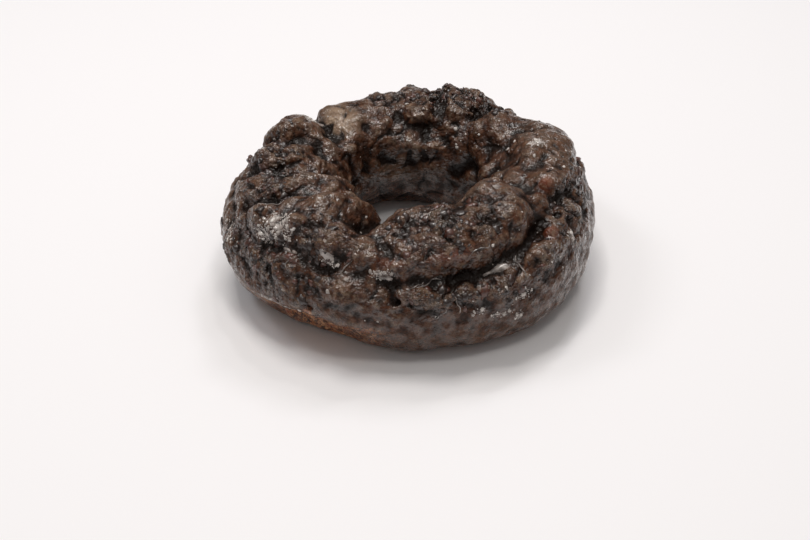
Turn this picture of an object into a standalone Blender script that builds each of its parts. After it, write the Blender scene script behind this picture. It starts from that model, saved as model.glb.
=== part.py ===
"""An old fashioned doughnut: one ring of glazed cake with a smooth skirt, a crack and a craggy crown.

The ring lies on its flat base with the hole along Z. A place on it is given by two angles in
degrees: the ring angle runs anticlockwise from +X, seen from above, so 270 is the front, and the
section angle is 0 at the outer edge, 90 on top and 180 at the wall of the hole.
"""

from math import atan2, cos, degrees, exp, hypot, pi, radians, sin
import random

import bmesh
import bpy
from mathutils import Matrix, Vector, noise

MM = 0.001

# Driving dimensions
WIDTH = 93 * MM
DOUGH_WIDTH = 29 * MM
DOUGH_HEIGHT = 31.3 * MM
RING_RADIUS = (WIDTH - DOUGH_WIDTH) / 2
SQUARENESS = 2.3  # 2 makes a round section, and more makes it boxier
BASE_CUT = 1.1 * MM  # how much of the round section the flat base takes off

RING_STEPS = 112
SECTION_STEPS = 38
CROWDING = 0.22  # how much closer the rows lie on the crown than under the base
CROWD_ANGLE = 60

# Slow waves in the outline, seen from above: waves round the ring, size, ring angle of a crest
RIM_WAVES = ((2, 1.5 * MM, 20), (3, 0.3 * MM, 340), (4, 1.0 * MM, 41))

# The crack between skirt and crown: ring angle, section angle, depth
CRACK = (
    (8, 40, 1.4 * MM),
    (40, 36, 2.2 * MM),
    (75, 42, 2.6 * MM),
    (105, 38, 2.2 * MM),
    (135, 34, 1.6 * MM),
    (165, 36, 1.4 * MM),
    (195, 34, 1.2 * MM),
    (214, 39, 1.2 * MM),
    (230, 50, 1.8 * MM),
    (246, 42, 1.8 * MM),
    (268, 37, 2.4 * MM),
    (286, 36, 3.0 * MM),
    (298, 45, 3.0 * MM),
    (309, 53, 2.8 * MM),
    (321, 63, 2.4 * MM),
    (334, 66, 1.6 * MM),
)
CRACK_ROW = 42  # section angle of the row of the mesh that follows the crack
CRACK_PULL = 70  # how far from the crack its neighbours still follow it
CRACK_WIDTH = 8
CRACK_WANDER = 7  # how far the crack strays from its eased line, in degrees
CRACK_BENDS = 5  # how fast it strays: about this many bends in a radian of the ring
CROWN_LIFT = 1.2 * MM
CROWN_END = 135

# Broad swells and hollows: ring angle, section angle, reach along the ring, reach across, height
SWELLS = {
    "front crown": (284, 104, 34, 56, 3.4 * MM),
    "front crown, right end": (320, 114, 28, 56, 5.2 * MM),
    "front crown, brow": (284, 72, 26, 24, 1.4 * MM),
    "lump before the notch": (240, 76, 10, 24, 1.6 * MM),
    "lump left of the notch": (224, 96, 16, 40, 3.0 * MM),
    "sugared lump": (212, 62, 12, 22, 1.8 * MM),
    "inner left wall": (222, 146, 44, 64, 5.4 * MM),
    "dome": (152, 80, 18, 42, 2.6 * MM),
    "lobe under the dome": (177, 80, 12, 44, 2.4 * MM),
    "curled lobe": (199, 116, 10, 50, 2.6 * MM),
    "curl at the hole": (204, 146, 10, 24, 2.2 * MM),
    "right dome": (14, 84, 30, 46, 1.4 * MM),
    "back crown": (72, 90, 24, 34, 1.6 * MM),
    "glazed ledge": (88, 116, 20, 18, 1.8 * MM),
    "back right shoulder": (40, 116, 16, 34, 1.6 * MM),
    "left skirt": (192, 16, 36, 44, 1.8 * MM),
    "front skirt": (270, 22, 14, 14, 1.2 * MM),
    "lump over the front skirt": (256, 40, 8, 10, 1.2 * MM),
    "skirt lump left of the pit": (252, 22, 9, 14, 1.2 * MM),
    "skirt lump right of the pit": (279, 18, 11, 13, 1.5 * MM),
    "skirt lump, right": (298, 20, 10, 14, 1.5 * MM),
    "skirt lump, far right": (315, 34, 10, 14, 1.5 * MM),
}
HOLLOWS = {
    "notch to the hole": (247, 122, 11, 52, 7.0 * MM),
    "pocket behind the notch": (222, 126, 9, 20, 2.0 * MM),
    "slope behind the dome": (142, 46, 30, 46, 2.4 * MM),
    "slope at the back left": (114, 52, 24, 44, 3.0 * MM),
    "dip before the right dome": (336, 96, 9, 34, 1.6 * MM),
    "back wall under the undercut": (84, 190, 60, 26, 1.8 * MM),
    "foot of the back wall": (102, 224, 64, 48, 3.4 * MM),
    "band under the front crown": (296, 40, 26, 18, 1.6 * MM),
    "pit in the front skirt": (264, 24, 5, 9, 2.0 * MM),
    "pit under the left skirt": (239, 2, 5, 9, 1.6 * MM),
    "lifted lower left edge": (234, -40, 34, 46, 6.4 * MM),
    "pit in the right side": (339, 62, 6, 12, 2.2 * MM),
    "flat place at the back left": (124, 80, 14, 34, 0.8 * MM),
    "step down at the back right": (42, 58, 22, 46, 4.0 * MM),
}

# Creases between lobes of dough: ring and section angle of each end, half width, depth
CREASES = {
    "behind the dome": ((134, 62), (143, 122), 2.2 * MM, 4.2 * MM),
    "under the dome": ((166, 50), (164, 118), 1.9 * MM, 3.4 * MM),
    "fold in the left side": ((180, 52), (192, 112), 2.0 * MM, 3.8 * MM),
    "above the sugared lump": ((198, 44), (211, 100), 1.8 * MM, 2.6 * MM),
    "pocket beside the curl": ((212, 104), (224, 136), 1.9 * MM, 3.0 * MM),
    "across the front crown": ((262, 60), (256, 84), 1.6 * MM, 1.6 * MM),
    "end of the front crown": ((318, 62), (334, 116), 2.2 * MM, 2.6 * MM),
    "back crown, left": ((104, 84), (100, 118), 1.8 * MM, 2.2 * MM),
    "back crown, middle": ((80, 70), (72, 116), 1.8 * MM, 2.4 * MM),
    "back crown, right": ((54, 60), (50, 116), 2.0 * MM, 2.8 * MM),
    "under the ledge": ((106, 130), (72, 138), 2.0 * MM, 1.4 * MM),
    "undercut in the back wall": ((108, 160), (40, 164), 2.1 * MM, 2.0 * MM),
    "left skirt": ((196, 30), (216, 14), 1.8 * MM, 1.6 * MM),
    "right skirt": ((336, 34), (8, 26), 1.8 * MM, 1.8 * MM),
}
CREASE_WANDER = 2.4 * MM  # how far a crease strays from its straight line
CREASE_BEND = (11, 16)  # degrees along the ring and across it in which it bends once
CREASE_SHIFT = Vector((5.3, 9.1, 2.7))  # sets its straying across the line off from that along it

# Crags all over: size of a lump, height, and how rough the skirt and the crown are
CRAG_SIZE = 6.5 * MM
FINER_CRAGS = 2.1  # how many of the finer lumps go in the size of a coarse one
FINER_SHIFT = Vector((7, 3, 5))  # sets the finer lumps off from the coarse ones
CRAG_SHARES = (1.5, 0.5)  # weights of the coarse lumps and the finer ones
CRAG_MIDDLE = 0.5  # the height of lump that leaves the plain surface where it is
CRAG_HEIGHT = 2.0 * MM
SKIRT_ROUGHNESS = 0.3
CROWN_ROUGHNESS = 1.0
SMOOTH_BELOW = -5  # section angles between which the skirt grows rough
ROUGH_ABOVE = 35
SMOOTH_PLACES = ((12, 70, 26, 42), (124, 80, 16, 40))  # ring angle, section angle, reaches
SMOOTHING = 0.85

# Knobs that stand proud: ring angle, section angle, radii along the ring, across and outwards, turn
KNOBS = {
    "left nub": (178, 36, 2.2 * MM, 2.4 * MM, 3.0 * MM, 0),
    "back peak": (73, 74, 3.4 * MM, 3.0 * MM, 5.4 * MM, 0),
    "back round knob": (62, 78, 5.2 * MM, 4.8 * MM, 4.8 * MM, 0),
    "back square nub": (42, 66, 3.8 * MM, 2.6 * MM, 3.4 * MM, 15),
    "back left nub": (106, 72, 2.4 * MM, 2.4 * MM, 2.8 * MM, 0),
    "inner back lump": (60, 110, 4.2 * MM, 3.6 * MM, 3.2 * MM, 30),
    "inner back right lump": (44, 126, 4.0 * MM, 4.4 * MM, 3.0 * MM, 30),
    "curl tip": (196, 142, 3.2 * MM, 4.4 * MM, 3.0 * MM, 20),
    "right crumb, lower": (334, 54, 2.8 * MM, 2.2 * MM, 3.0 * MM, 10),
    "right crumb, upper": (342, 72, 2.2 * MM, 2.0 * MM, 2.4 * MM, 0),
    "nodule on the right": (352, 80, 2.6 * MM, 2.0 * MM, 2.4 * MM, 60),
}
NEAR = 2  # degrees to either side within which the lie of the surface is taken
KNOB_SINK = 0.6  # how deep a knob's centre sits, as a share of its outward radius
KNOB_CRAG = 0.9 * MM
KNOB_CRAG_SIZE = 3.4 * MM

# Small knobs strewn over the rough places, the same on each run
STREWN = 26
STREWN_SEED = 11
STREWN_RADIUS = (1.6 * MM, 3.6 * MM)
STREWN_SECTION = (16, 158)
STREWN_STRETCH = (0.85, 1.35)
STREWN_GAP = 1.15  # least spacing of two, as a share of their radii added up

CAKE_COLOR = (0.041, 0.024, 0.018, 1)
CAKE_ROUGHNESS = 0.38


def turn_between(angle, other):
    """The signed turn in degrees from other to angle, between -180 and 180."""
    return (angle - other + 180) % 360 - 180


def fade(distance, reach):
    """A smooth bump: 1 at no distance and 0 from the reach on."""
    share = abs(distance) / reach
    return cos(share * pi / 2) ** 2 if share < 1 else 0


def ease(value, start, end):
    """Rises smoothly from 0 at start to 1 at end."""
    share = min(max((value - start) / (end - start), 0), 1)
    return share * share * (3 - 2 * share)


def patch(ring, section, place):
    """How strongly a patch, given by its ring angle, section angle and two reaches, is felt at a place."""
    along = turn_between(ring, place[0]) / place[2]
    across = turn_between(section, place[1]) / place[3]
    return fade(hypot(along, across), 1)


def crease_depth(ring, section, crease):
    """How deep a crease is at a place, by the distance over the dough from the line between its ends."""
    (ring_a, section_a), (ring_b, section_b), half_width, depth = crease
    out = RING_RADIUS + cos(radians(section)) * DOUGH_WIDTH / 2
    scale = Vector((radians(out), radians(DOUGH_HEIGHT / 2)))
    line = Vector((turn_between(ring_b, ring_a), section_b - section_a)) * scale
    place = Vector((turn_between(ring, ring_a), turn_between(section, section_a))) * scale
    bend = Vector((ring / CREASE_BEND[0], section / CREASE_BEND[1], depth / MM))
    place += CREASE_WANDER * Vector((noise.noise(bend), noise.noise(bend + CREASE_SHIFT)))
    share = min(max(place.dot(line) / line.dot(line), 0), 1)
    return depth * exp(-(((place - line * share).length / half_width) ** 2))


def crack_at(ring):
    """The crack's section angle and depth at a ring angle, eased from one of its points to the next."""
    start = min(CRACK, key=lambda point: (ring - point[0]) % 360)
    end = min(CRACK, key=lambda point: (point[0] - ring) % 360 or 360)
    share = ease((ring - start[0]) % 360, 0, (end[0] - start[0]) % 360)
    section = start[1] + (end[1] - start[1]) * share
    away = Vector((cos(radians(ring)), sin(radians(ring)), 0))
    wander = CRACK_WANDER * noise.noise(away * CRACK_BENDS)
    return section + wander, start[2] + (end[2] - start[2]) * share


def roughness(ring, section):
    """0 where the glaze lies smooth, 1 where the crown is craggiest."""
    upper = ease(section, SMOOTH_BELOW, ROUGH_ABOVE) if -90 < section < 180 else 0
    rough = SKIRT_ROUGHNESS + (CROWN_ROUGHNESS - SKIRT_ROUGHNESS) * upper
    for place in SMOOTH_PLACES:
        rough *= 1 - SMOOTHING * patch(ring, section, place)
    return rough


def billow(point, size):
    """Rounded lumps with creases between them, from 0 in a crease to about 1 on a lump."""
    coarse = abs(noise.noise(point / size))
    fine = abs(noise.noise(point / size * FINER_CRAGS + FINER_SHIFT))
    return CRAG_SHARES[0] * coarse + CRAG_SHARES[1] * fine


def relief(ring, section):
    """How far the surface stands out from the plain ring, apart from the crags."""
    crack_angle, crack_depth = crack_at(ring)
    past = section - crack_angle
    height = CROWN_LIFT * ease(past, 0, 2 * CRACK_WIDTH) * (1 - ease(section, CROWN_END, 180))
    height -= crack_depth * exp(-((past / CRACK_WIDTH) ** 2))
    for place in SWELLS.values():
        height += place[4] * patch(ring, section, place)
    for place in HOLLOWS.values():
        height -= place[4] * patch(ring, section, place)
    height -= max(crease_depth(ring, section, crease) for crease in CREASES.values())
    return height


def surface(ring, section):
    """The point on the craggy ring at a ring angle and a section angle in degrees."""
    out, up = cos(radians(section)), sin(radians(section))
    reach = (abs(out) ** SQUARENESS + abs(up) ** SQUARENESS) ** (-1 / SQUARENESS)
    rim = sum(size * cos(waves * radians(ring - crest)) for waves, size, crest in RIM_WAVES)
    away = Vector((cos(radians(ring)), sin(radians(ring)), 0))
    plain = away * (RING_RADIUS + rim + out * reach * DOUGH_WIDTH / 2)
    plain.z = DOUGH_HEIGHT / 2 - BASE_CUT + up * reach * DOUGH_HEIGHT / 2
    crag = CRAG_HEIGHT * (billow(plain, CRAG_SIZE) - CRAG_MIDDLE) * roughness(ring, section)
    point = plain + (away * out + Vector((0, 0, up))) * (relief(ring, section) + crag)
    point.z = max(point.z, 0)
    return point


def outward(ring, section):
    """The directions along the ring, across it and straight out of its surface at a place."""
    along = (surface(ring + NEAR, section) - surface(ring - NEAR, section)).normalized()
    across = surface(ring, section + NEAR) - surface(ring, section - NEAR)
    normal = along.cross(across).normalized()
    return along, normal.cross(along), normal


def clear_scene():
    for obj in list(bpy.data.objects):
        bpy.data.objects.remove(obj)


def new_collection(name):
    collection = bpy.data.collections.new(name)
    bpy.context.scene.collection.children.link(collection)
    return collection


def move_to(obj, collection):
    for old in list(obj.users_collection):
        old.objects.unlink(obj)
    collection.objects.link(obj)


def cake_material():
    """Dark cocoa cake under a thin clear glaze."""
    material = bpy.data.materials.new("glazed chocolate cake")
    material.use_nodes = True
    shader = material.node_tree.nodes["Principled BSDF"]
    shader.inputs["Base Color"].default_value = CAKE_COLOR
    shader.inputs["Roughness"].default_value = CAKE_ROUGHNESS
    shader.inputs["Metallic"].default_value = 0
    return material


def row_angle(ring, section):
    """Where a row of the plain ring goes: crowded on the crown, with one row along the crack."""
    crowded = section - degrees(CROWDING * sin(radians(section - CROWD_ANGLE)))
    shift = crack_at(ring)[0] - CRACK_ROW
    return crowded + shift * fade(turn_between(crowded, CRACK_ROW), CRACK_PULL)


def make_ring(collection):
    """The ring itself, from a torus whose points move out to the craggy surface."""
    bpy.ops.mesh.primitive_torus_add(
        major_segments=RING_STEPS,
        minor_segments=SECTION_STEPS,
        major_radius=RING_RADIUS,
        minor_radius=DOUGH_WIDTH / 2,
    )
    ring = bpy.context.object
    ring.name = "doughnut"
    for vertex in ring.data.vertices:
        x, y, z = vertex.co
        angle = degrees(atan2(y, x))
        section = degrees(atan2(z, hypot(x, y) - RING_RADIUS))
        vertex.co = surface(angle, row_angle(angle, section))
    move_to(ring, collection)
    return ring


def make_knob(name, knob, collection):
    """One rounded lump of dough, sunk into the ring, with crags of its own."""
    ring, section, along_radius, across_radius, out_radius, turn = knob
    along, across, normal = outward(ring, section)
    lie = Matrix((along, across, normal)).transposed() @ Matrix.Rotation(radians(turn), 3, "Z")
    centre = surface(ring, section) - normal * KNOB_SINK * out_radius
    bpy.ops.mesh.primitive_ico_sphere_add(subdivisions=2, radius=1)
    lump = bpy.context.object
    lump.name = name
    for vertex in lump.data.vertices:
        ball = vertex.co.copy()
        shape = Vector((ball.x * along_radius, ball.y * across_radius, ball.z * out_radius))
        place = centre + lie @ shape
        crag = KNOB_CRAG * (billow(place, KNOB_CRAG_SIZE) - CRAG_MIDDLE)
        vertex.co = place + (lie @ ball) * crag
    move_to(lump, collection)


def strewn_knobs():
    """Small knobs at seeded places, apart from each other and off the smooth places."""
    draw = random.Random(STREWN_SEED)
    placed = []
    while len(placed) < STREWN:
        ring = draw.uniform(0, 360)
        section = draw.uniform(*STREWN_SECTION)
        radius = draw.uniform(*STREWN_RADIUS)
        stretch = draw.uniform(*STREWN_STRETCH)
        turn = draw.uniform(0, 180)
        if any(patch(ring, section, place) > 0 for place in SMOOTH_PLACES):
            continue
        if abs(section - crack_at(ring)[0]) < CRACK_WIDTH:
            continue
        spot = surface(ring, section)
        if any((spot - other).length < STREWN_GAP * (radius + size) for other, size, _ in placed):
            continue
        placed.append((spot, radius, (ring, section, radius * stretch, radius, radius, turn)))
    return [knob for _, _, knob in placed]


def fuse(body, lumps):
    """Joins the lumps to the body with one Boolean union, applies it and removes the lumps."""
    union = body.modifiers.new("fuse lumps", "BOOLEAN")
    union.operation = "UNION"
    union.operand_type = "COLLECTION"
    union.collection = lumps
    union.solver = "EXACT"
    bpy.context.view_layer.objects.active = body
    bpy.ops.object.modifier_apply(modifier=union.name)
    for lump in list(lumps.objects):
        bpy.data.objects.remove(lump)
    bpy.data.collections.remove(lumps)


def centre_on_base(body):
    """Moves the points so that the middle of the body's box, on the floor, is the origin."""
    spots = [vertex.co for vertex in body.data.vertices]
    middle = Vector(
        [(min(spot[axis] for spot in spots) + max(spot[axis] for spot in spots)) / 2 for axis in (0, 1)]
    )
    body.data.transform(Matrix.Translation((-middle.x, -middle.y, 0)))


def finish(body):
    """Triangles throughout, smooth shading and the cake's material."""
    mesh = bmesh.new()
    mesh.from_mesh(body.data)
    bmesh.ops.triangulate(mesh, faces=mesh.faces[:])
    mesh.to_mesh(body.data)
    mesh.free()
    body.data.shade_smooth()
    body.data.materials.clear()
    body.data.materials.append(cake_material())


def main():
    clear_scene()
    doughnut = make_ring(new_collection("old_fashioned_doughnut"))
    lumps = new_collection("lumps")
    for name, knob in KNOBS.items():
        make_knob(name, knob, lumps)
    for index, knob in enumerate(strewn_knobs()):
        make_knob(f"strewn knob {index + 1}", knob, lumps)
    fuse(doughnut, lumps)
    centre_on_base(doughnut)
    finish(doughnut)


main()
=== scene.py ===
"""The looks of an old fashioned doughnut: craggy cocoa cake, the glaze on it, and its crumbs."""

from math import cos, exp, log, pi, radians, sin

import bmesh
import bpy
import numpy as np
from mathutils import Matrix, Vector, noise


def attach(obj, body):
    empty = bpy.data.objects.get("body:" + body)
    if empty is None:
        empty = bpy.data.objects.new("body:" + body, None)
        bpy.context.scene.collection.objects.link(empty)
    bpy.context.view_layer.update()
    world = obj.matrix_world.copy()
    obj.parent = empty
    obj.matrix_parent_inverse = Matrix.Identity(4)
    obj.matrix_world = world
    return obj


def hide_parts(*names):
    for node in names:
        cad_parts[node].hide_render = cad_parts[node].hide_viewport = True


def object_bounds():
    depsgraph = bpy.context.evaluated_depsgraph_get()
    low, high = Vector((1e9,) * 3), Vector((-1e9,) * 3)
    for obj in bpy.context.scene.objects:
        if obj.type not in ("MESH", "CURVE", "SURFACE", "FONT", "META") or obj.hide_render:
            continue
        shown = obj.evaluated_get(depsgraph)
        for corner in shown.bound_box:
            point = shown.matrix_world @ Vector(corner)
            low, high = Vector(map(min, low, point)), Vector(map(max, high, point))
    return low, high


MM = 0.001

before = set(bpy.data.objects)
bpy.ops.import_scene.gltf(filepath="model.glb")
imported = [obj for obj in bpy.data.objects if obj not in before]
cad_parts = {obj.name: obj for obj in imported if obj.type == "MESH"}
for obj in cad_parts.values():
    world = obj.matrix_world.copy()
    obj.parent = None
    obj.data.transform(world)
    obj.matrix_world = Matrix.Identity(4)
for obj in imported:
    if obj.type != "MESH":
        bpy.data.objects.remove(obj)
noise.seed_set(7)  # without it, noise vectors differ from run to run
solid_low, solid_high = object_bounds()

# The ring's own sizes, worked out from its box
RING_WIDTH = solid_high.x - solid_low.x
DOUGH_RADIUS = 0.155 * RING_WIDTH
RING_RADIUS = RING_WIDTH / 2 - DOUGH_RADIUS - 1.2 * MM
DOUGH_MIDDLE = 14.5 * MM  # height of the middle of the dough's section
SECTION_SHARE = 0.4  # how far a degree of section angle reaches, to one of ring angle

# The view of the photograph
CAMERA_PLACE = (-1.2 * MM, -295.4 * MM, 221.6 * MM)
CAMERA_PITCH = 37.4  # degrees that it looks down
CAMERA_LENS = 62.2  # mm
SENSOR_WIDTH = 36  # mm
CAMERA_NEAR = 0.01  # metres; nothing closer is drawn

# The surface of the cake
MERGE_WITHIN = 0.01 * MM
FINE_GRID = 0.57 * MM  # spacing of the grid that the cake is remeshed on; as fine as keeps the cake under 200,000 triangles
FACET_ROUNDS = 9  # rounds of smoothing that ease the solid's facets
BROAD_ROUNDS = 160  # rounds that leave only the broad form, against which the crack is deep
LOCAL_ROUNDS = 16  # rounds that leave the lumps, against which a crease is deep
LUMP_SIZE = 4.4 * MM
LUMP_HEIGHT = 1.3 * MM
LUMP_LEVEL = 0.75  # the height of lump that leaves the surface where it is
LUMP_BLEND = 8  # the higher, the sharper the line where two lumps meet
SWELL_SIZE = 7 * MM
SWELL_HEIGHT = 0.6 * MM
CRUMB_SIZE = 1.8 * MM
CRUMB_HEIGHT = 0.7 * MM
CRUMB_LEVEL = 0.8
FOLD_SIZE = 8 * MM
FOLD_DEPTH = 0.7 * MM
FOLD_WIDTH = 0.07  # the higher, the wider a fold
SMOOTH_CRUST = 0.25  # how lumpy the crust is where no place below says otherwise
FULL_HOLLOW = 0.4 * MM  # the depth of crease that is stored as 1
FOOT = (0.3 * MM, 3 * MM)  # heights between which the relief grows from none to full
LIFTED = (236, 30)  # ring angle and reach of the lower edge that is lifted off the floor

# What lies on it: how many, smallest and largest radius, flatness, how deep it is set, seed
CRUMBS = (900, (0.3 * MM, 1.2 * MM), 0.62, 0.3, 5)
SUGAR = (1000, (0.12 * MM, 0.5 * MM), 0.4, 0.1, 17)
STRAY_SUGAR_AND_GLINTS = 0.001  # how thickly single grains lie outside the patches, partly painted glints
KINDS_OF_LUMP = 5
LUMP_JAG = 0.8  # how far a crumb's points stray from a ball, as a share of its radius
SMALL_ONES = 2.5  # the higher, the more of the pieces are small
POOL_ROUNDS = 10  # rounds of smoothing that make a pool's skin level
POOL_SUNK = 0.16 * MM  # how deep its rim lies under the crust
POOL_RAGGED = 0.12 * MM  # how uneven its rim is
THREAD_STEPS = 9
THREAD_WANDER = 25  # degrees that a thread strays from its heading
THREAD_PACE = 0.5 * MM  # over this length a thread goes the two steps below, in degrees
RING_STEP = 0.9
SECTION_STEP = 1.9

# Places on the ring are two angles in degrees: one round the ring, from +X towards the back, and
# one round the dough's section, 0 on the outer side, 90 on top and 180 on the wall of the hole.
# A patch also has two reaches in degrees, one along the ring and one across it.

# Where the crust is lumpy: ring angle, section angle, two reaches, how lumpy
LUMPY_PLACES = (
    (76, 88, 60, 60, 1.0),
    (80, 140, 50, 50, 0.8),
    (284, 96, 50, 60, 0.55),
    (190, 84, 50, 60, 0.6),
    (222, 24, 50, 40, 0.7),
    (285, 26, 56, 36, 1.0),
    (345, 44, 36, 34, 0.8),
    (30, 24, 44, 34, 0.7),
    (92, 22, 50, 34, 0.7),
    (150, 26, 46, 36, 0.7),
)

# Where the glaze lies smooth over it: ring angle, section angle, two reaches, how smooth
SMOOTH_PLACES = (
    (132, 106, 18, 32, 1.0),
    (124, 78, 14, 20, 0.7),
    (10, 74, 26, 40, 0.9),
    (196, 118, 14, 30, 0.7),
    (300, 62, 22, 12, 0.6),
)

# Where it is crumbly: ring angle, section angle, two reaches, how crumbly
CRUMBLY_PLACES = (
    (284, 88, 46, 50, 1.0),
    (218, 26, 44, 44, 1.0),
    (290, 26, 50, 30, 0.8),
    (345, 46, 34, 34, 0.9),
    (76, 84, 60, 50, 1.0),
    (190, 80, 46, 50, 0.8),
    (240, 60, 20, 40, 0.9),
    (34, 28, 40, 32, 0.8),
    (88, 24, 46, 32, 0.7),
    (148, 28, 44, 34, 0.8),
)

# Pits torn in the crust: ring angle, section angle, radius, depth (below 0 for a lump on it)
PITS = (
    (323, 50, 2.4 * MM, -1.8 * MM),
    (340, 79, 2.0 * MM, -1.3 * MM),
    (331, 57, 1.8 * MM, 1.6 * MM),
    (266, 24, 1.5 * MM, 1.8 * MM),
    (239, 1, 1.3 * MM, 1.8 * MM),
    (229, -17, 1.4 * MM, 1.6 * MM),
    (346, 40, 1.8 * MM, 1.4 * MM),
    (122, 124, 2.6 * MM, 1.0 * MM),
    (181, 92, 2.4 * MM, 1.2 * MM),
    (70, 128, 3.2 * MM, 1.1 * MM),
    (55, 96, 1.8 * MM, 1.0 * MM),
)

# White sugar that dried on the crust, and one painted glint of the glaze:
# ring angle, section angle, two reaches, strength
SUGAR_AND_GLINT_PATCHES = (
    (222, 57, 9, 17, 0.85),
    (218, 46, 6, 9, 0.7),
    # Painted highlight, not sugar: white where the glaze glints
    (243, 52, 6, 9, 0.5),
    (261, 49, 6, 7, 1.0),
    (291, 5, 4, 5, 1.0),
    (298, -3, 6, 7, 0.7),
    (304, -12, 3, 9, 0.8),
    (306, 12, 5, 10, 0.7),
    (330, 34, 3, 12, 0.9),
    (8, 88, 4, 12, 0.9),
    (146, 92, 5, 12, 0.8),
    (200, 20, 9, 12, 0.5),
    (228, -8, 14, 10, 0.5),
    (100, 70, 8, 14, 0.4),
)

# Where the crust fried reddish brown: ring angle, section angle, two reaches, strength
RUDDY_PLACES = (
    (323, 50, 5, 10, 1.0),
    (340, 79, 5, 9, 1.0),
    (284, 62, 12, 8, 0.7),
    (262, 60, 7, 8, 0.5),
    (186, 66, 8, 14, 0.5),
)

# Milky film of dried glaze, partly painted sheen: ring angle, section angle, two reaches, strength
FILM_AND_SHEEN_PLACES = (
    (132, 104, 18, 34, 1.8),
    (124, 78, 14, 18, 0.8),
    (10, 76, 34, 44, 0.4),
    (288, -30, 60, 22, 0.2),
    (222, -24, 44, 24, 0.9),
    (345, -16, 40, 32, 0.35),
    (186, 20, 40, 50, 0.35),
    (300, 122, 26, 24, 0.5),
    (100, 170, 60, 30, 0.3),
)

# Glaze that pooled and dried in dips: ring angle, section angle, two reaches, thickness
POOLS = (
    (301, 44, 5, 9, 0.5 * MM),
    (296, 42, 4, 7, 0.4 * MM),
    (262, 47, 5, 6, 0.5 * MM),
    (242, 54, 5, 8, 0.4 * MM),
    (228, 46, 4, 6, 0.4 * MM),
    (330, 34, 3, 13, 0.4 * MM),
    (8, 88, 4, 14, 0.35 * MM),
    (139, 92, 4, 13, 0.35 * MM),
    (250, 96, 4, 9, 0.4 * MM),
    (276, 100, 5, 8, 0.3 * MM),
    (318, 100, 5, 9, 0.3 * MM),
    (165, 100, 4, 10, 0.3 * MM),
    (60, 96, 4, 8, 0.3 * MM),
)

# Threads of glaze drawn out over the crust: ring angle, section angle, heading, length, radius
THREADS = (
    (272, 38, 25, 5 * MM, 0.16 * MM),
    (269, 36, 40, 4 * MM, 0.13 * MM),
    (278, 2, 70, 4 * MM, 0.16 * MM),
    (285, 8, 100, 5 * MM, 0.14 * MM),
    (246, 40, 60, 5 * MM, 0.16 * MM),
    (290, 60, 20, 5 * MM, 0.13 * MM),
    (232, 30, 110, 5 * MM, 0.14 * MM),
    (208, 56, 60, 6 * MM, 0.16 * MM),
    (306, 26, 80, 6 * MM, 0.16 * MM),
    (30, 60, 120, 6 * MM, 0.14 * MM),
    (150, 56, 40, 6 * MM, 0.14 * MM),
    (80, 70, 15, 6 * MM, 0.14 * MM),
    (186, 60, 80, 5 * MM, 0.13 * MM),
    (340, 30, 95, 6 * MM, 0.14 * MM),
)

# Lights: name, place, size, power, colour
LIGHTS = (
    ("window", (-0.08, 0.12, 0.72), 0.18, 1.4, "#fffaf4"),
    ("second window", (0.16, 0.36, 0.60), 0.14, 0.8, "#fdfcff"),
    ("ceiling lamp", (0.12, -0.20, 0.70), 0.12, 0.7, "#fffaf4"),
    ("left window", (-0.40, 0.12, 0.55), 0.18, 0.6, "#fdfcff"),
    ("small lamp", (-0.16, 0.02, 0.74), 0.05, 0.42, "#fffcf8"),
    ("far lamp", (0.05, 0.30, 0.66), 0.05, 0.34, "#fffcf8"),
)
LIGHTS_AIM = Vector((0, 0, 0.02))
ROOM_BRIGHTNESS = 0.56

FLOOR_SIZE = 6  # metres
FLOOR_COLOUR = "#f3f2f4"


def linear(hex_colour):
    """An sRGB hex colour as linear red, green, blue and full alpha."""
    parts = [int(hex_colour[i:i + 2], 16) / 255 for i in (1, 3, 5)]
    return (*[p / 12.92 if p <= 0.04045 else ((p + 0.055) / 1.055) ** 2.4 for p in parts], 1.0)


def pick(*objects):
    """Makes these the only selected objects, the first of them active."""
    bpy.ops.object.select_all(action="DESELECT")
    for obj in objects:
        obj.select_set(True)
    bpy.context.view_layer.objects.active = objects[0]


def apply_modifier(obj, name, kind, **settings):
    """Adds one modifier with its settings and applies it."""
    modifier = obj.modifiers.new(name, kind)
    for key, value in settings.items():
        setattr(modifier, key, value)
    pick(obj)
    bpy.ops.object.modifier_apply(modifier=modifier.name)


def points_of(obj):
    """The mesh's points as an array with one row for each."""
    spots = np.empty(len(obj.data.vertices) * 3, np.float32)
    obj.data.vertices.foreach_get("co", spots)
    return spots.reshape(-1, 3)


def normals_of(obj):
    """The mesh's smooth normals, one row for each point."""
    found = np.empty(len(obj.data.vertices) * 3, np.float32)
    obj.data.vertex_normals.foreach_get("vector", found)
    return found.reshape(-1, 3)


def move_points(obj, spots):
    """Puts the mesh's points at these places."""
    obj.data.vertices.foreach_set("co", spots.astype(np.float32).ravel())
    obj.data.update()


def keep_on_points(obj, name, values):
    """Stores one number for each point, for the material to read."""
    stored = obj.data.attributes.new(name, "FLOAT", "POINT")
    stored.data.foreach_set("value", values.astype(np.float32))


def fade(distance, reach):
    """A smooth bump: 1 at no distance and 0 from the reach on."""
    return np.cos(np.clip(np.abs(distance) / reach, 0, 1) * pi / 2) ** 2


def ease(value, start, end):
    """Rises smoothly from 0 at start to 1 at end."""
    share = np.clip((value - start) / (end - start), 0, 1)
    return share * share * (3 - 2 * share)


def turn_between(angle, other):
    """The turn from one angle to another in degrees, between -180 and 180."""
    return (angle - other + 180) % 360 - 180


def ring_angles(spots):
    """Each point's angle round the ring and round the dough's section, in degrees."""
    out = np.hypot(spots[:, 0], spots[:, 1])
    ring = np.degrees(np.arctan2(spots[:, 1], spots[:, 0])) % 360
    section = np.degrees(np.arctan2(spots[:, 2] - DOUGH_MIDDLE, out - RING_RADIUS))
    return ring, np.where(section < -90, section + 360, section)


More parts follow.
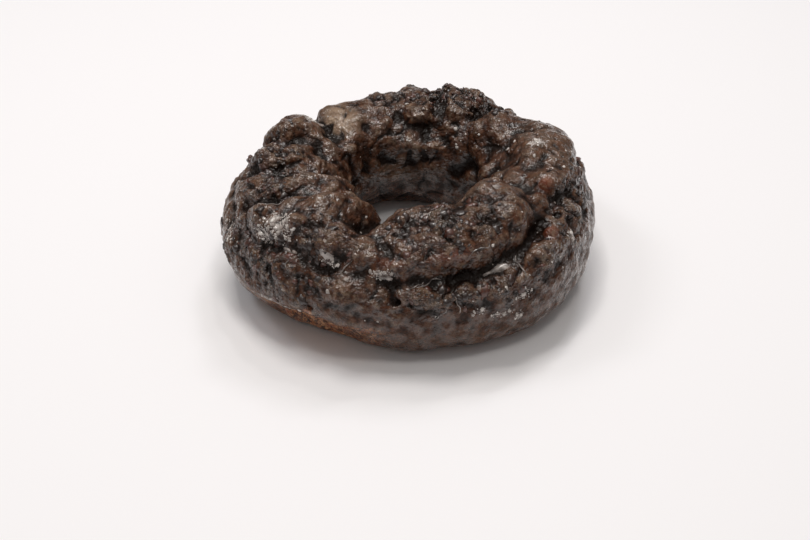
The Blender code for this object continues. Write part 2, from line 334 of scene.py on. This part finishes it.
def patch(ring, section, place):
    """How strongly a patch, given by two angles and two reaches, is felt at each point."""
    along = turn_between(ring, place[0]) / place[2]
    across = turn_between(section, place[1]) / place[3]
    return fade(np.hypot(along, across), 1)


def nearest(ring, section, place):
    """Which point of the mesh is nearest to a ring angle and a section angle."""
    across = turn_between(section, place[1]) * SECTION_SHARE
    return np.argmin(np.hypot(turn_between(ring, place[0]), across))


def per_point(spots, rule):
    """What the rule gives for each point."""
    return np.array([rule(Vector(spot)) for spot in spots.tolist()], np.float32)


def wavy(spots, size, seed):
    """Soft noise between -1 and 1, in lumps of about this size."""
    shift = Vector((seed, seed * 0.7, -seed))
    return per_point(spots, lambda spot: noise.noise(spot / size + shift))


def lumps(spots, size, seed):
    """Rounded lumps of uneven height that run softly into each other, from about 0 to 1.3."""
    shift = Vector((seed, -seed, seed * 0.3))

    def height(spot):
        place = spot / size + shift
        place += noise.noise_vector(place * 0.7) * 0.5
        total = 0
        for distance, centre in zip(*noise.voronoi(place)):
            total += exp(LUMP_BLEND * (1 + noise.noise(centre * 3.1) - 1.7 * distance * distance))
        return log(total) / LUMP_BLEND

    return per_point(spots, height)


def folds(spots, size, seed):
    """Thin winding folds: 1 along a fold and 0 away from it."""
    shift = Vector((seed * 0.3, seed, seed * 1.7))

    def fold(spot):
        place = spot / size + shift
        place += noise.noise_vector(place * 0.9) * 0.6
        return exp(-((noise.noise(place) / FOLD_WIDTH) ** 2))

    return per_point(spots, fold)


def averaged(obj, spots, rounds):
    """The same points after this many rounds of plain smoothing."""
    edges = np.empty(len(obj.data.edges) * 2, np.int64)
    obj.data.edges.foreach_get("vertices", edges)
    a, b = edges.reshape(-1, 2).T
    count = np.bincount(np.concatenate([a, b]), minlength=len(spots))[:, None]
    for _ in range(rounds):
        total = np.zeros(spots.shape)
        for axis in range(spots.shape[1]):
            total[:, axis] = np.bincount(a, spots[b, axis], len(spots))
            total[:, axis] += np.bincount(b, spots[a, axis], len(spots))
        spots = total / count
    return spots


def felt(ring, section, places):
    """The strongest of these patches at each point."""
    found = np.zeros(len(ring))
    for place in places:
        found = np.maximum(found, place[4] * patch(ring, section, place))
    return found


def make_cake():
    """The cake itself: the solid on a fine grid, its facets eased and its crust torn up."""
    solid = bpy.data.objects["doughnut"]
    cake = bpy.data.objects.new("craggy_cake", solid.data.copy())
    bpy.context.scene.collection.objects.link(cake)
    pick(cake)
    bpy.ops.object.mode_set(mode="EDIT")
    bpy.ops.mesh.select_all(action="SELECT")
    bpy.ops.mesh.remove_doubles(threshold=MERGE_WITHIN)
    bpy.ops.object.mode_set(mode="OBJECT")
    apply_modifier(cake, "fine grid", "REMESH", mode="VOXEL", voxel_size=FINE_GRID)
    apply_modifier(cake, "ease facets", "SMOOTH", factor=0.5, iterations=FACET_ROUNDS)

    spots = points_of(cake).astype(np.float64)
    ring, section = ring_angles(spots)
    clear = ease(spots[:, 2], *FOOT)
    broad = averaged(cake, spots, BROAD_ROUNDS)
    crack = np.einsum("ij,ij->i", broad - spots, normals_of(cake)) / MM

    calm = 1 - 0.9 * felt(ring, section, SMOOTH_PLACES)
    lumpy = np.maximum(SMOOTH_CRUST, felt(ring, section, LUMPY_PLACES) * calm)
    patchy = ease(wavy(spots, 5 * MM, 5), -0.15, 0.25)
    crumbly = felt(ring, section, CRUMBLY_PLACES) * (0.3 + 0.7 * patchy)
    crumbly *= calm
    height = LUMP_HEIGHT * (lumps(spots, LUMP_SIZE, 3) - LUMP_LEVEL) * lumpy
    height += SWELL_HEIGHT * wavy(spots, SWELL_SIZE, 9) * lumpy
    height -= FOLD_DEPTH * folds(spots, FOLD_SIZE, 4) * (0.3 + 0.7 * lumpy) * ease(section, 0, 40)
    crown = ease(section, -22, 4) * (1 - ease(section, 130, 165))
    fine = (0.25 + 0.75 * crumbly) * (0.25 + 0.75 * crown)
    height += CRUMB_HEIGHT * (lumps(spots, CRUMB_SIZE, 8) - CRUMB_LEVEL) * fine
    for place in PITS:
        away = spots - spots[nearest(ring, section, place)]
        height -= place[3] * fade(np.linalg.norm(away, axis=1), place[2])
    spots = spots + normals_of(cake) * (height * clear)[:, None]
    spots[:, 2] = np.maximum(spots[:, 2], 0)
    move_points(cake, spots)

    smooth = averaged(cake, spots, LOCAL_ROUNDS)
    depth = np.einsum("ij,ij->i", smooth - spots, normals_of(cake))
    # Depth in a crease and in the crack: the material darkens both as painted shade
    keep_on_points(cake, "hollow", np.clip(depth / FULL_HOLLOW, -1, 1))
    keep_on_points(cake, "crack", np.clip(crack, -1, 2))
    keep_on_points(cake, "crumbly", crumbly)
    # Where the sugar lies, and one patch of painted highlight
    keep_on_points(cake, "sugar", felt(ring, section, SUGAR_AND_GLINT_PATCHES))
    keep_on_points(cake, "ruddy", felt(ring, section, RUDDY_PLACES))
    # Painted sheen: more film on crests that face up, out of the creases
    crest_sheen = 0.3 * ease(normals_of(cake)[:, 2], 0.45, 0.95) * ease(-depth / MM, -0.05, 0.25)
    keep_on_points(cake, "film_and_sheen", np.maximum(felt(ring, section, FILM_AND_SHEEN_PLACES), crest_sheen))
    edge = wavy(spots, 2.5 * MM, 21) + 0.6 * wavy(spots, 0.9 * MM, 22)
    below = np.where(section > 180, section - 360, section)
    foot = 1 - ease(spots[:, 2] + MM * edge, 0.6 * MM, 2.4 * MM)
    lifted = (1 - ease(below + 14 * edge, -18, -6)) * ease(below, -95, -80)
    lifted = lifted * fade(ring - LIFTED[0], LIFTED[1]) ** 0.5
    keep_on_points(cake, "underside", np.maximum(foot, lifted))
    pick(cake)
    bpy.ops.object.shade_smooth()
    cake.data.materials.clear()
    cake.data.materials.append(glazed_cake())
    return cake


def make_lump(name, seed):
    """One small uneven lump of 80 faces, about 2 across, for copying."""
    bpy.ops.object.select_all(action="DESELECT")
    bpy.ops.mesh.primitive_ico_sphere_add(subdivisions=2, radius=1)
    lump = bpy.context.object
    lump.name = name
    for vertex in lump.data.vertices:
        vertex.co *= 1 + LUMP_JAG * noise.noise(vertex.co * 1.4 + Vector((seed, 0, 0)))
    return lump


def strew(name, cake, weights, kind):
    """Copies of a few lumps, each with a size, turn and tone of its own, set into the crust."""
    count, sizes, flatness, sink, seed = kind
    draw = np.random.default_rng(seed)
    lumps_made = [make_lump(f"{name} lump {i}", seed + 3 * i) for i in range(KINDS_OF_LUMP)]
    spots, normals = points_of(cake), normals_of(cake)
    pieces = []
    for index in draw.choice(len(spots), count, replace=False, p=weights / weights.sum()):
        size = sizes[0] + (sizes[1] - sizes[0]) * draw.random() ** SMALL_ONES
        lie = Vector(normals[index]).to_track_quat("Z", "Y").to_matrix()
        lie = lie @ Matrix.Rotation(draw.uniform(0, 2 * pi), 3, "Z")
        lie = lie @ Matrix.Diagonal((size * draw.uniform(1, 1.5), size, size * flatness))
        mesh = lumps_made[draw.integers(len(lumps_made))].data.copy()
        place = Vector(spots[index]) - Vector(normals[index]) * size * sink
        mesh.transform(Matrix.Translation(place) @ lie.to_4x4())
        piece = bpy.data.objects.new(name, mesh)
        bpy.context.scene.collection.objects.link(piece)
        keep_on_points(piece, "tone", np.full(len(mesh.vertices), draw.random()))
        pieces.append(piece)
    for lump in lumps_made:
        bpy.data.objects.remove(lump)
    pick(*pieces)
    bpy.ops.object.join()
    pieces[0].name = name
    bpy.ops.object.shade_smooth()
    return pieces[0]


def make_crumbs(cake):
    """Loose crumbs on the crust, thickest where it is torn."""
    ring, section = ring_angles(points_of(cake))
    crumbs = strew("loose_crumbs", cake, felt(ring, section, CRUMBLY_PLACES) ** 1.5, CRUMBS)
    crumbs.data.materials.append(crumb_crust())
    return crumbs


def make_sugar(cake):
    """White grains and flakes of dried glaze in the sugared places and a few strays elsewhere;
    the flakes at one patch are painted glints, the strays partly painted glints.
    """
    ring, section = ring_angles(points_of(cake))
    stray = STRAY_SUGAR_AND_GLINTS * (ease(section, -20, 10) * (1 - ease(section, 140, 170)))
    sugar = strew("sugar_flakes", cake, felt(ring, section, SUGAR_AND_GLINT_PATCHES) ** 2 + stray, SUGAR)
    sugar.data.materials.append(dried_sugar())
    return sugar


def make_pools(cake):
    """Pools of glaze that dried in dips: a skin lifted off the crust, its rim sunk back into it."""
    pools = bpy.data.objects.new("glaze_pools", cake.data.copy())
    bpy.context.scene.collection.objects.link(pools)
    pools.data.materials.clear()
    ring, section = ring_angles(points_of(pools))
    shape = bmesh.new()
    shape.from_mesh(pools.data)
    shape.verts.ensure_lookup_table()
    inside = felt(ring, section, POOLS)
    outside = [vertex for vertex in shape.verts if inside[vertex.index] <= 0.02 * MM]
    bmesh.ops.delete(shape, geom=outside, context="VERTS")
    shape.to_mesh(pools.data)
    shape.free()
    spots = points_of(pools).astype(np.float64)
    ring, section = ring_angles(spots)
    spots = averaged(pools, spots, POOL_ROUNDS)
    ragged = POOL_RAGGED * wavy(spots, 1.6 * MM, 12)
    lift = felt(ring, section, POOLS) * 1.1 - POOL_SUNK + ragged
    move_points(pools, spots + normals_of(pools) * lift[:, None])
    pick(pools)
    bpy.ops.object.shade_smooth()
    pools.data.materials.append(pooled_glaze())
    return pools


def make_threads(cake):
    """Thin threads of glaze that follow the crust."""
    spots, normals = points_of(cake), normals_of(cake)
    ring, section = ring_angles(spots)
    data = bpy.data.curves.new("glaze_threads", "CURVE")
    data.dimensions = "3D"
    data.bevel_resolution = 2
    data.resolution_u = 4
    data.use_fill_caps = True
    data.bevel_depth = 1
    steps = np.linspace(0, 1, THREAD_STEPS)
    for number, (around, across, heading, length, radius) in enumerate(THREADS):
        path = []
        for step in steps:
            bend = THREAD_WANDER * noise.noise(Vector((number, step * 2, 0)))
            ahead = step * length / THREAD_PACE
            at_ring = around + ahead * cos(radians(heading + bend)) * RING_STEP
            at_section = across + ahead * sin(radians(heading + bend)) * SECTION_STEP
            index = nearest(ring, section, (at_ring, at_section))
            path.append(Vector(spots[index]) + Vector(normals[index]) * radius * 0.6)
        spline = data.splines.new("NURBS")
        spline.points.add(len(path) - 1)
        for point, place, step in zip(spline.points, path, steps):
            point.co = (*place, 1)
            point.radius = radius * (1 - 0.75 * abs(2 * step - 1) ** 3)
        spline.use_endpoint_u = True
        spline.order_u = 3
    threads = bpy.data.objects.new("glaze_threads", data)
    bpy.context.scene.collection.objects.link(threads)
    pick(threads)
    bpy.ops.object.convert(target="MESH")
    bpy.ops.object.shade_smooth()
    threads.data.materials.append(pooled_glaze())
    return threads


def add(tree, kind, settings, out=0):
    """Adds a node. A setting is a property, a value for a socket, or the output linked to it."""
    node = tree.nodes.new(kind)
    for key, value in settings.items():
        if isinstance(value, bpy.types.NodeSocket):
            tree.links.new(value, node.inputs[key])
        elif isinstance(key, str) and hasattr(node, key):
            setattr(node, key, value)
        else:
            node.inputs[key].default_value = value
    return node.outputs[out]


def glazed_cake():
    """Fried cocoa cake dipped in thin sugar glaze: brown crumb with a wet shine, painted shade
    in the creases, a pale skin of dried glaze that is partly painted sheen, and dry brown
    crust at the foot."""
    material = bpy.data.materials.new("glazed cocoa cake")
    material.use_nodes = True
    tree = material.node_tree
    shader = tree.nodes["Principled BSDF"]
    place = add(tree, "ShaderNodeTexCoord", {}, "Object")

    hollow, crack, crumbly, ruddy, film_and_sheen, sugar, under = (
        add(tree, "ShaderNodeAttribute", {"attribute_name": name}, "Fac")
        for name in ("hollow", "crack", "crumbly", "ruddy", "film_and_sheen", "sugar", "underside"))
    blotch = add(tree, "ShaderNodeTexNoise", {"Scale": 1 / (6 * MM), "Detail": 3, "Vector": place})
    veil = add(tree, "ShaderNodeTexNoise", {"Scale": 1 / (4 * MM), "Detail": 5, "Roughness": 0.65,
                                            "Distortion": 0.8, "Vector": place})
    grain = add(tree, "ShaderNodeTexNoise", {"Scale": 1 / (1.3 * MM), "Detail": 4, "Vector": place})
    flecks = add(tree, "ShaderNodeTexNoise", {"Scale": 1 / (0.9 * MM), "Detail": 2,
                                              "Roughness": 0.7, "Vector": place})
    clumps = add(tree, "ShaderNodeTexNoise", {"Scale": 1 / (1.6 * MM), "Detail": 6,
                                              "Roughness": 0.75, "Vector": place})
    warp = add(tree, "ShaderNodeTexNoise", {"Scale": 1 / (1.1 * MM), "Detail": 3,
                                            "Vector": place}, "Color")
    bent = add(tree, "ShaderNodeVectorMath", {"operation": "MULTIPLY_ADD", 0: warp,
                                              1: (1.1 * MM,) * 3, 2: place})
    grains = add(tree, "ShaderNodeTexVoronoi", {"feature": "SMOOTH_F1", "Scale": 1 / (1.05 * MM),
                                                "Smoothness": 0.25, "Vector": bent})

    # Brown crumb, with redder flecks where the crust is torn
    share = add(tree, "ShaderNodeMapRange", {0: grain, 1: 0.34, 2: 0.7})
    colour = add(tree, "ShaderNodeMix", {"data_type": "RGBA", 0: share, 6: linear("#2b170d"),
                                         7: linear("#573320")}, 2)
    share = add(tree, "ShaderNodeMapRange", {0: flecks, 1: 0.58, 2: 0.7, 3: 0, 4: 0.5})
    share = add(tree, "ShaderNodeMath", {"operation": "MULTIPLY", 0: share, 1: crumbly})
    colour = add(tree, "ShaderNodeMix", {"data_type": "RGBA", 0: share, 6: colour,
                                         7: linear("#6a3a29")}, 2)
    share = add(tree, "ShaderNodeMapRange", {0: blotch, 1: 0.54, 2: 0.7, 3: 0, 4: 0.25})
    colour = add(tree, "ShaderNodeMix", {"data_type": "RGBA", 0: share, 6: colour,
                                         7: linear("#4f2b1c")}, 2)

    # The places that fried reddish brown
    share = add(tree, "ShaderNodeMath", {"operation": "MULTIPLY", 0: ruddy, 1: 0.85})
    colour = add(tree, "ShaderNodeMix", {"data_type": "RGBA", 0: share, 6: colour,
                                         7: linear("#6e3523")}, 2)

    # Painted shade: nearly black in the creases, in the crack and between the grains of crumb
    share = add(tree, "ShaderNodeMapRange", {0: hollow, 1: -0.15, 2: 0.5, 3: 0, 4: 0.95})
    colour = add(tree, "ShaderNodeMix", {"data_type": "RGBA", 0: share, 6: colour,
                                         7: linear("#150c07")}, 2)
    share = add(tree, "ShaderNodeMapRange", {0: crack, 1: 0.12, 2: 0.8, 3: 0, 4: 0.8})
    colour = add(tree, "ShaderNodeMix", {"data_type": "RGBA", 0: share, 6: colour,
                                         7: linear("#170e09")}, 2)
    share = add(tree, "ShaderNodeMapRange", {0: grains, 1: 0.3, 2: 0.6, 3: 0, 4: 0.7})
    share = add(tree, "ShaderNodeMath", {"operation": "MULTIPLY", 0: share, 1: crumbly})
    colour = add(tree, "ShaderNodeMix", {"data_type": "RGBA", 0: share, 6: colour,
                                         7: linear("#130b06")}, 2)

    # Milky film of dried glaze, partly painted sheen; painted sheen only on crests and bump tops
    share = add(tree, "ShaderNodeMapRange", {0: veil, 1: 0.38, 2: 0.66, 3: 0.3, 4: 0.75})
    milky_and_sheen = add(tree, "ShaderNodeMath", {"operation": "MULTIPLY", 0: share, 1: film_and_sheen})
    loose = add(tree, "ShaderNodeMapRange", {0: veil, 1: 0.58, 2: 0.74, 3: 0, 4: 0.18})
    milky_and_sheen = add(tree, "ShaderNodeMath", {"operation": "MAXIMUM", 0: milky_and_sheen, 1: loose})
    share = add(tree, "ShaderNodeMapRange", {0: hollow, 1: 0.5, 2: -0.2})
    milky_and_sheen = add(tree, "ShaderNodeMath", {"operation": "MULTIPLY", 0: milky_and_sheen, 1: share})
    # Painted sheen on the tops of the bumps, clear of the creases
    share = add(tree, "ShaderNodeMapRange", {0: clumps, 1: 0.46, 2: 0.62, 3: 0, 4: 0.45})
    top_sheen = add(tree, "ShaderNodeMapRange", {0: hollow, 1: 0.0, 2: -0.7})
    share = add(tree, "ShaderNodeMath", {"operation": "MULTIPLY", 0: share, 1: top_sheen})
    milky_and_sheen = add(tree, "ShaderNodeMath", {"operation": "MAXIMUM", 0: milky_and_sheen, 1: share})
    colour = add(tree, "ShaderNodeMix", {"data_type": "RGBA", 0: milky_and_sheen, 6: colour,
                                         7: linear("#9b8570")}, 2)

    # Dry brown crust round the foot, with dark pits
    share = add(tree, "ShaderNodeMapRange", {0: clumps, 1: 0.42, 2: 0.6})
    crust = add(tree, "ShaderNodeMix", {"data_type": "RGBA", 0: share, 6: linear("#94553a"),
                                        7: linear("#cf9a70")}, 2)
    share = add(tree, "ShaderNodeMapRange", {0: flecks, 1: 0.5, 2: 0.4})
    crust = add(tree, "ShaderNodeMix", {"data_type": "RGBA", 0: share, 6: crust,
                                        7: linear("#2a150c")}, 2)
    share = add(tree, "ShaderNodeMapRange", {0: grain, 1: 0.38, 2: 0.5, 3: 0.2, 4: 1})
    share = add(tree, "ShaderNodeMath", {"operation": "MULTIPLY", 0: share, 1: under})
    colour = add(tree, "ShaderNodeMix", {"data_type": "RGBA", 0: share, 6: colour, 7: crust}, 2)

    # White sugar that dried in ragged patches, and one patch of painted highlight
    share = add(tree, "ShaderNodeMapRange", {0: clumps, 1: 0.42, 2: 0.62, 3: -0.3, 4: 1.25})
    share = add(tree, "ShaderNodeMath", {"operation": "MULTIPLY", 0: share, 1: sugar})
    white = add(tree, "ShaderNodeMapRange", {0: share, 1: 0.22, 2: 0.55, 3: 0, 4: 0.65})
    colour = add(tree, "ShaderNodeMix", {"data_type": "RGBA", 0: white, 6: colour,
                                         7: linear("#cfc8c4")}, 2)
    tree.links.new(colour, shader.inputs["Base Color"])

    # The set glaze: a hard coat that shines in patches and on the crumbly crust, less in creases
    gloss = add(tree, "ShaderNodeMapRange", {0: veil, 1: 0.35, 2: 0.7, 3: 0.26, 4: 0.5})
    gloss = add(tree, "ShaderNodeMath", {"operation": "MULTIPLY_ADD", 0: white, 1: 0.3, 2: gloss})
    tree.links.new(gloss, shader.inputs["Roughness"])
    shader.inputs["IOR"].default_value = 1.22  # the crumb under the coat hardly shines
    shine = add(tree, "ShaderNodeTexNoise", {"Scale": 1 / (3 * MM), "Detail": 3, "Vector": place})
    wet = add(tree, "ShaderNodeMapRange", {0: shine, 1: 0.42, 2: 0.56, 3: 0.15, 4: 1})
    share = add(tree, "ShaderNodeMapRange", {0: crumbly, 1: 0.2, 2: 0.8, 3: 0, 4: 1})
    wet = add(tree, "ShaderNodeMath", {"operation": "MAXIMUM", 0: wet, 1: share})
    share = add(tree, "ShaderNodeMapRange", {0: hollow, 1: 0.1, 2: 0.7, 3: 1, 4: 0.15})
    wet = add(tree, "ShaderNodeMath", {"operation": "MULTIPLY", 0: wet, 1: share})
    tree.links.new(wet, shader.inputs["Coat Weight"])
    shader.inputs["Coat Roughness"].default_value = 0.06
    shader.inputs["Coat IOR"].default_value = 1.58

    # Fine relief: rounded grains where it is crumbly, a soft uneven skin elsewhere, and specks
    skin = add(tree, "ShaderNodeTexNoise", {"Scale": 1 / (1.5 * MM), "Detail": 1.5,
                                            "Vector": place})
    rough = add(tree, "ShaderNodeMapRange", {0: crumbly, 1: 0, 2: 0.7, 3: 0.3, 4: 1.1})
    relief = add(tree, "ShaderNodeMath", {"operation": "MULTIPLY", 0: grains, 1: -0.9})
    relief = add(tree, "ShaderNodeMath", {"operation": "MULTIPLY", 0: relief, 1: rough})
    calm = add(tree, "ShaderNodeMapRange", {0: crumbly, 1: 0, 2: 0.6, 3: 0.45, 4: 1})
    skin = add(tree, "ShaderNodeMath", {"operation": "MULTIPLY", 0: skin, 1: calm})
    relief = add(tree, "ShaderNodeMath", {"operation": "ADD", 0: relief, 1: skin})
    specks = add(tree, "ShaderNodeTexNoise", {"Scale": 1 / (0.55 * MM), "Detail": 1,
                                              "Vector": place})
    relief = add(tree, "ShaderNodeMath", {"operation": "MULTIPLY_ADD", 0: specks, 1: 0.25,
                                          2: relief})
    bump = add(tree, "ShaderNodeBump", {"Strength": 1.0, "Distance": 0.8 * MM, "Height": relief})
    tree.links.new(bump, shader.inputs["Normal"])
    tree.links.new(bump, shader.inputs["Coat Normal"])
    return material


def crumb_crust():
    """Loose crumbs of fried crust under the glaze: dark brown to red brown, with small glints."""
    material = bpy.data.materials.new("loose crumb of crust")
    material.use_nodes = True
    tree = material.node_tree
    shader = tree.nodes["Principled BSDF"]
    place = add(tree, "ShaderNodeTexCoord", {}, "Object")
    tone = add(tree, "ShaderNodeAttribute", {"attribute_name": "tone"}, "Fac")
    grain = add(tree, "ShaderNodeTexNoise", {"Scale": 1 / (0.6 * MM), "Detail": 2, "Vector": place})
    share = add(tree, "ShaderNodeMapRange", {0: tone, 1: 0.45, 2: 1.0})
    colour = add(tree, "ShaderNodeMix", {"data_type": "RGBA", 0: share, 6: linear("#26140d"),
                                         7: linear("#5e3020")}, 2)
    share = add(tree, "ShaderNodeMapRange", {0: grain, 1: 0.4, 2: 0.65, 3: 0, 4: 0.6})
    colour = add(tree, "ShaderNodeMix", {"data_type": "RGBA", 0: share, 6: colour,
                                         7: linear("#20120d")}, 2)
    tree.links.new(colour, shader.inputs["Base Color"])
    shader.inputs["Roughness"].default_value = 0.45
    shader.inputs["Coat Weight"].default_value = 0.7
    shader.inputs["Coat Roughness"].default_value = 0.08
    return material


def dried_sugar():
    """Sugar that dried white: chalky, with a faint warm tone."""
    material = bpy.data.materials.new("dried white sugar")
    material.use_nodes = True
    tree = material.node_tree
    shader = tree.nodes["Principled BSDF"]
    tone = add(tree, "ShaderNodeAttribute", {"attribute_name": "tone"}, "Fac")
    colour = add(tree, "ShaderNodeMix", {"data_type": "RGBA", 0: tone, 6: linear("#7d716a"),
                                         7: linear("#dbd4ce")}, 2)
    tree.links.new(colour, shader.inputs["Base Color"])
    shader.inputs["Roughness"].default_value = 0.5
    shader.inputs["Coat Weight"].default_value = 0.3
    return material


def pooled_glaze():
    """Sugar glaze that ran together and set: a smooth, wet looking grey skin over dark cake,
    its pale grey partly painted highlight.
    """
    material = bpy.data.materials.new("set sugar glaze")
    material.use_nodes = True
    tree = material.node_tree
    shader = tree.nodes["Principled BSDF"]
    place = add(tree, "ShaderNodeTexCoord", {}, "Object")
    cloud = add(tree, "ShaderNodeTexNoise", {"Scale": 1 / (1.8 * MM), "Detail": 4, "Vector": place})
    # Pale grey clouds: partly the glaze's own colour, partly painted highlight
    share = add(tree, "ShaderNodeMapRange", {0: cloud, 1: 0.38, 2: 0.66})
    colour = add(tree, "ShaderNodeMix", {"data_type": "RGBA", 0: share, 6: linear("#4a3e38"),
                                         7: linear("#ada39d")}, 2)
    tree.links.new(colour, shader.inputs["Base Color"])
    shader.inputs["Roughness"].default_value = 0.28
    shader.inputs["Coat Weight"].default_value = 1
    shader.inputs["Coat Roughness"].default_value = 0.06
    return material


def make_floor():
    """A plain pale floor that fills the view: matt white board, which shows soft shadows only."""
    bpy.ops.object.select_all(action="DESELECT")
    bpy.ops.mesh.primitive_plane_add(size=FLOOR_SIZE)
    floor = bpy.context.object
    floor.name = "floor"
    material = bpy.data.materials.new("matt white board")
    material.use_nodes = True
    shader = material.node_tree.nodes["Principled BSDF"]
    shader.inputs["Base Color"].default_value = linear(FLOOR_COLOUR)
    shader.inputs["Roughness"].default_value = 0.6
    floor.data.materials.append(material)


def add_light(name, place, size, power, colour):
    """A soft square light of this size that faces the doughnut."""
    data = bpy.data.lights.new(name, "AREA")
    data.size = size
    data.energy = power
    data.color = linear(colour)[:3]
    light = bpy.data.objects.new(name, data)
    light.location = place
    light.rotation_euler = (LIGHTS_AIM - Vector(place)).to_track_quat("-Z", "Y").to_euler()
    bpy.context.scene.collection.objects.link(light)


def make_studio():
    """Soft light from above, most of it from behind, a pale room, and the photograph's camera."""
    for light in LIGHTS:
        add_light(*light)
    world = bpy.data.worlds.new("pale room")
    bpy.context.scene.world = world
    world.use_nodes = True
    tree = world.node_tree
    background = tree.nodes["Background"]
    direction = add(tree, "ShaderNodeTexCoord", {}, "Generated")
    up = add(tree, "ShaderNodeSeparateXYZ", {0: direction}, "Z")
    share = add(tree, "ShaderNodeMapRange", {0: up, 1: 0.25, 2: 1})
    colour = add(tree, "ShaderNodeMix", {"data_type": "RGBA", 0: share, 6: linear("#7c7a78"),
                                         7: linear("#fffcf9")}, 2)
    tree.links.new(colour, background.inputs["Color"])
    background.inputs["Strength"].default_value = ROOM_BRIGHTNESS
    lens = bpy.data.cameras.new("photo camera")
    lens.sensor_width = SENSOR_WIDTH
    lens.lens = CAMERA_LENS
    lens.clip_start = CAMERA_NEAR
    camera = bpy.data.objects.new("photo camera", lens)
    camera.location = CAMERA_PLACE
    camera.rotation_euler = (radians(90 - CAMERA_PITCH), 0, 0)
    bpy.context.scene.collection.objects.link(camera)
    bpy.context.scene.camera = camera
    bpy.context.scene.view_settings.view_transform = "Standard"


def main():
    """Builds the view and the pieces and rides them on the part."""
    make_studio()
    make_floor()
    cake = make_cake()
    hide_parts("doughnut")
    for piece in (cake, make_crumbs(cake), make_sugar(cake), make_pools(cake), make_threads(cake)):
        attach(piece, "root")


main()
